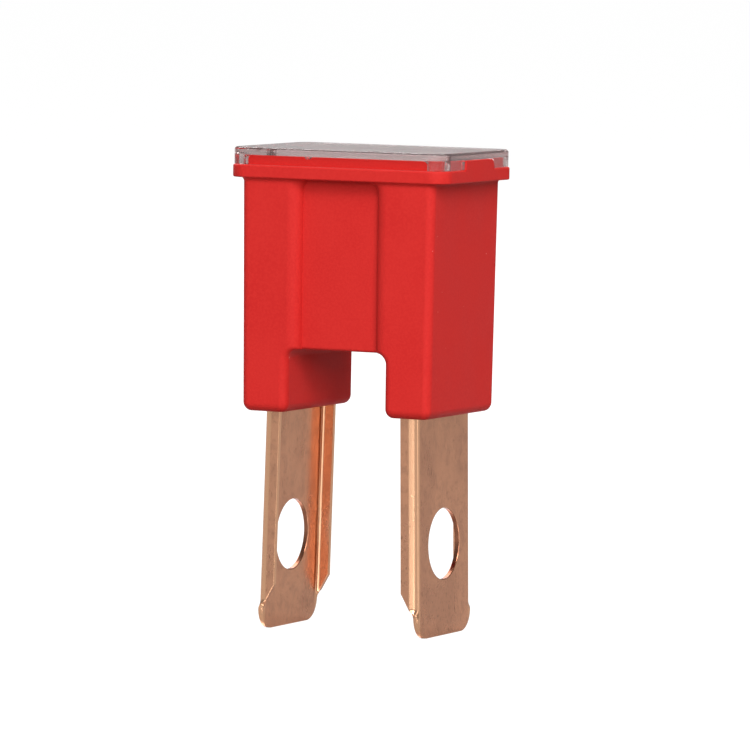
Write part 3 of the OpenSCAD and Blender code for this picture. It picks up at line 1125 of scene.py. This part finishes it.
def layFloor():
    half = studio["floorHalf"]
    corners = [(-half, -half, 0), (half, -half, 0), (half, half, 0), (-half, half, 0)]
    floor = newObject("floor", corners, [(0, 1, 2, 3)])
    material, tree = newMaterial("floorPaper")
    path = addNode(tree, "ShaderNodeLightPath").outputs
    grey = (studio["floorGrey"],) * 3 + (1,)
    silver = (studio["floorSheen"],) * 3 + (1,)
    bright, dim = studio["floorGlow"], studio["floorGlowInMetal"]
    paper = addNode(tree, "ShaderNodeBsdfDiffuse", Color=grey).outputs[0]
    glow = addNode(tree, "ShaderNodeEmission", Color=white, Strength=bright).outputs[0]
    dimmer = addNode(tree, "ShaderNodeEmission", Color=white, Strength=dim).outputs[0]
    sheen = addNode(
        tree, "ShaderNodeBsdfGlossy", Color=silver, Roughness=studio["floorRoughness"]
    ).outputs[0]
    shiny = addNode(tree, "ShaderNodeAddShader", i0=dimmer, i1=sheen).outputs[0]
    glossy = path["Is Glossy Ray"]
    extra = addNode(tree, "ShaderNodeMixShader", i0=glossy, i1=glow, i2=shiny).outputs[0]
    lit = addNode(tree, "ShaderNodeAddShader", i0=paper, i1=extra).outputs[0]
    seen = calculate(tree, "MAXIMUM", path["Is Camera Ray"], glossy)
    seen = calculate(tree, "MAXIMUM", seen, path["Is Transmission Ray"])
    both = addNode(tree, "ShaderNodeMixShader", i0=seen, i1=paper, i2=lit).outputs[0]
    # clear from below, for views from under the floor
    clear = addNode(tree, "ShaderNodeBsdfTransparent").outputs[0]
    under = addNode(tree, "ShaderNodeNewGeometry").outputs["Backfacing"]
    finishShader(tree, addNode(tree, "ShaderNodeMixShader", i0=under, i1=both, i2=clear).outputs[0])
    floor.data.materials.append(material)


def makeSky():
    world = bpy.data.worlds.new("studio")
    scene.world = world
    world.use_nodes = True
    tree = world.node_tree
    tree.nodes.clear()
    where = addNode(tree, "ShaderNodeTexCoord").outputs["Generated"]
    up = addNode(tree, "ShaderNodeSeparateXYZ", Vector=where).outputs["Z"]
    level = remap(tree, up, *studio["skyFrom"], studio["horizon"], studio["zenith"])
    sky = addNode(tree, "ShaderNodeBackground", Color=white, Strength=level)
    out = tree.nodes.new("ShaderNodeOutputWorld")
    tree.links.new(sky.outputs[0], out.inputs["Surface"])


def hangLamps():
    aim = Vector((0, 0, studio["aimHeight"]))
    for name, spec in lamps.items():
        lamp = bpy.data.lights.new(name + "Light", "AREA")
        lamp.shape = "RECTANGLE"
        lamp.size, lamp.size_y = spec["size"]
        lamp.energy = spec["power"]
        ob = bpy.data.objects.new(name + "Light", lamp)
        ob.location = aim + around(spec["azimuth"], spec["elevation"], studio["lampDistance"])
        ob.rotation_mode = "QUATERNION"
        ob.rotation_quaternion = (ob.location - aim).to_track_quat("Z", "Y")
        ob.visible_camera = False
        scene.collection.objects.link(ob)
    lamp = bpy.data.lights.new("overheadLight", "SUN")
    lamp.angle = math.radians(overhead["angle"])
    lamp.energy = overhead["strength"]
    ob = bpy.data.objects.new("overheadLight", lamp)
    ob.rotation_mode = "QUATERNION"
    towards = around(overhead["azimuth"], overhead["elevation"], 1)
    ob.rotation_quaternion = towards.to_track_quat("Z", "Y")
    scene.collection.objects.link(ob)


def buildStudio():
    layFloor()
    makeSky()
    hangLamps()
    scene.view_settings.view_transform = "Standard"


def lightCoverSoftly(cover):
    # reflections of the large lamps would hide the clear cover, so it has two lamps of its own
    for state, names in (("EXCLUDE", offCover), ("INCLUDE", onCoverOnly)):
        group = bpy.data.collections.new("cover" + state.title())
        group.objects.link(cover)
        group.collection_objects[0].light_linking.link_state = state
        for name in names:
            bpy.data.objects[name + "Light"].light_linking.receiver_collection = group


def buildCamera():
    c = cameraSizes
    data = bpy.data.cameras.new("camera")
    data.lens = c["lens"]
    data.sensor_width = c["sensor"]
    data.clip_start, data.clip_end = c["clip"]
    ob = bpy.data.objects.new("camera", data)
    scene.collection.objects.link(ob)
    a = math.radians(c["azimuth"])
    aside = Vector((math.cos(a), math.sin(a), 0))
    ob.location = around(c["azimuth"], 0, c["distance"] * mm) + Vector((0, 0, c["height"] * mm))
    aim = aside * c["aimAside"] * mm + Vector((0, 0, c["aimHeight"] * mm))
    turn = (ob.location - aim).to_track_quat("Z", "Y")
    ob.rotation_mode = "QUATERNION"
    ob.rotation_quaternion = turn @ Matrix.Rotation(math.radians(c["roll"]), 3, "Z").to_quaternion()
    scene.camera = ob


buildCamera()
buildStudio()
print("camera and studio ready")
buildHousing(makeRedPlastic())
lightCoverSoftly(buildCover(makeClearPlastic()))
buildElement([
    makeCopper("copperSheet", bare=0, dull=0),
    # cut edges: bare copper, lifted towards the painted highlight
    makeCopper("cutCopper", bare=0.6, dull=0),
    # the holes' walls: painted shade
    makeCopper("holeShadedCopper", bare=0, dull=0.8),
])
buildPellet(makeTin())
